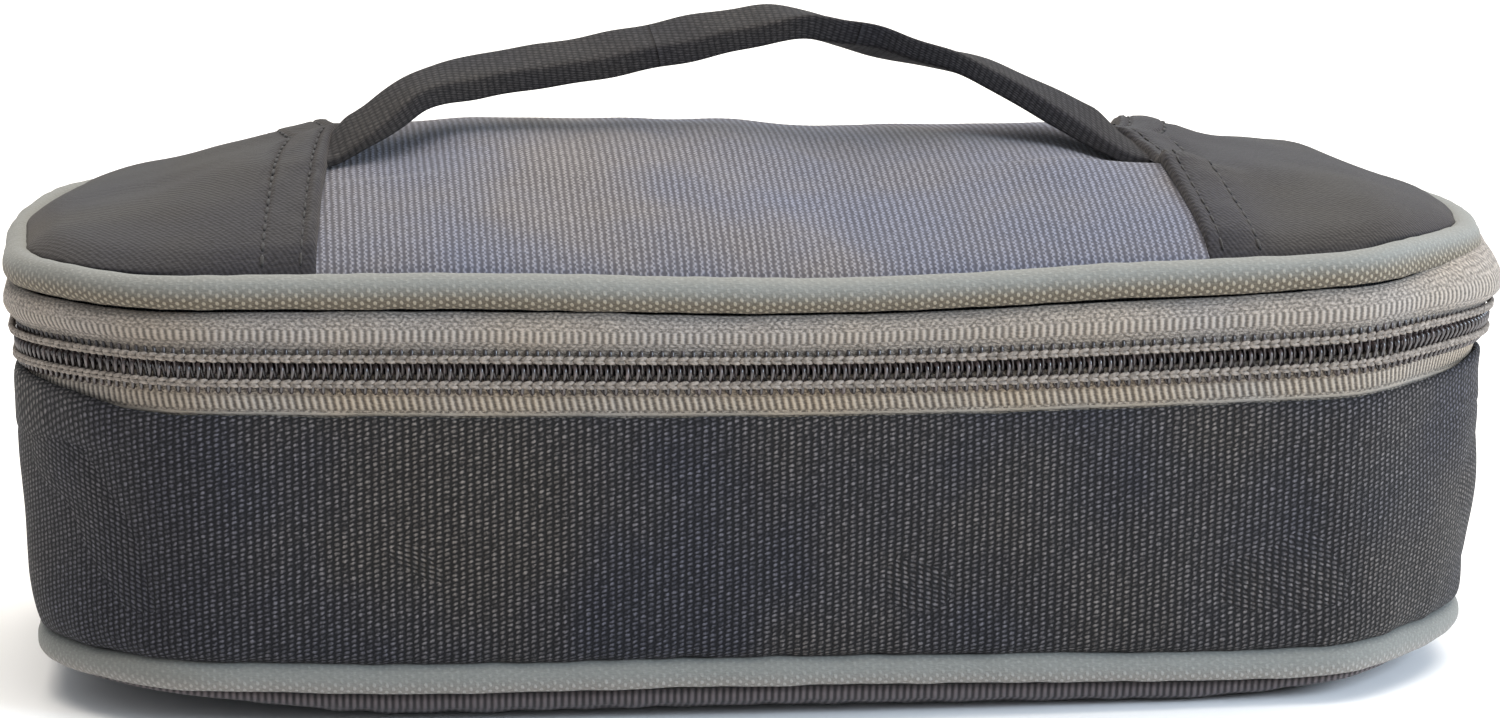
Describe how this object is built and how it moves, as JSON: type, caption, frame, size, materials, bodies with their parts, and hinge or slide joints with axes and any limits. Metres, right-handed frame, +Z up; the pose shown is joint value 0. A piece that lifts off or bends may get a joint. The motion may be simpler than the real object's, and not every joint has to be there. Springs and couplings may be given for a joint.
{
  "type": "lunch bag",
  "caption": "Soft insulated lunch bag with a padded tub, a zipped and crowned lid, piped edges and a webbing carrying handle.",
  "frame": {"origin": "centre of the flat part of the base, on the surface that the bag stands on", "axes": "+X along the bag, towards the side away from the slider; +Y towards the lid's hinge at the back; +Z up"},
  "size_m": [0.2396, 0.1258, 0.1052],
  "materials": {
    "wall_cloth": "charcoal textured polyester",
    "panel_cloth": "charcoal cloth of the lid's ends",
    "ribbed_cloth": "blue-grey ribbed cloth",
    "base_cloth": "dark ribbed cloth",
    "piping_cloth": "grey-green woven tape",
    "tape_cloth": "warm grey woven zip tape",
    "coil": "black nylon coil",
    "webbing": "dark grey ribbed webbing",
    "foam": "white foam padding",
    "lining": "silver grey coated lining",
    "binding": "black binding tape",
    "slider_metal": "black painted metal"
  },
  "bodies": {
    "tub": {"base_panel": "base_cloth", "base_foam": "foam", "base_lining": "lining", "bottom_piping_cover": "piping_cloth", "bottom_piping_cord": "foam", "bottom_seam_binding": "binding", "wall_panel": "wall_cloth", "wall_foam": "foam", "wall_lining": "lining", "lower_zip_tape": "tape_cloth", "lower_zip_coil": "coil", "upper_zip_tape_end": "tape_cloth", "upper_zip_coil_end": "coil", "hinge_gusset_lower": "wall_cloth"},
    "lid": {"lid_centre_panel": "ribbed_cloth", "lid_end_panel_left": "panel_cloth", "lid_end_panel_right": "panel_cloth", "lid_foam": "foam", "lid_lining": "lining", "top_piping_cover": "piping_cloth", "top_piping_cord": "foam", "top_seam_binding": "binding", "upper_zip_tape": "tape_cloth", "upper_zip_tape_edge": "tape_cloth", "upper_zip_coil": "coil", "hinge_gusset_upper": "wall_cloth", "handle_end_left": "webbing", "handle_end_right": "webbing"},
    "handle": {"handle_strap": "webbing"},
    "slider": {"slider_body": "slider_metal"},
    "pull": {"pull_tab": "slider_metal"}
  },
  "joints": [
    {"name": "lid_open", "type": "hinge", "parent": "tub", "child": "lid", "pos_m": [0, 0.06, 0.057], "axis": [-1, 0, 0], "range_deg": [0, 110]},
    {"name": "handle_swing", "type": "hinge", "parent": "lid", "child": "handle", "pos_m": [0, 0, 0.0896], "axis": [1, 0, 0], "range_deg": [-70, 70], "stiffness_Nm_per_rad": 0.01},
    {"name": "slider_travel", "type": "slide", "parent": "tub", "child": "slider", "axis": [1, 0, 0], "range_m": [0, 0.012]},
    {"name": "pull_swing", "type": "hinge", "parent": "slider", "child": "pull", "pos_m": [-0.075, 0.0636, 0.057], "axis": [1, 0, 0], "range_deg": [0, 170]}
  ]
}
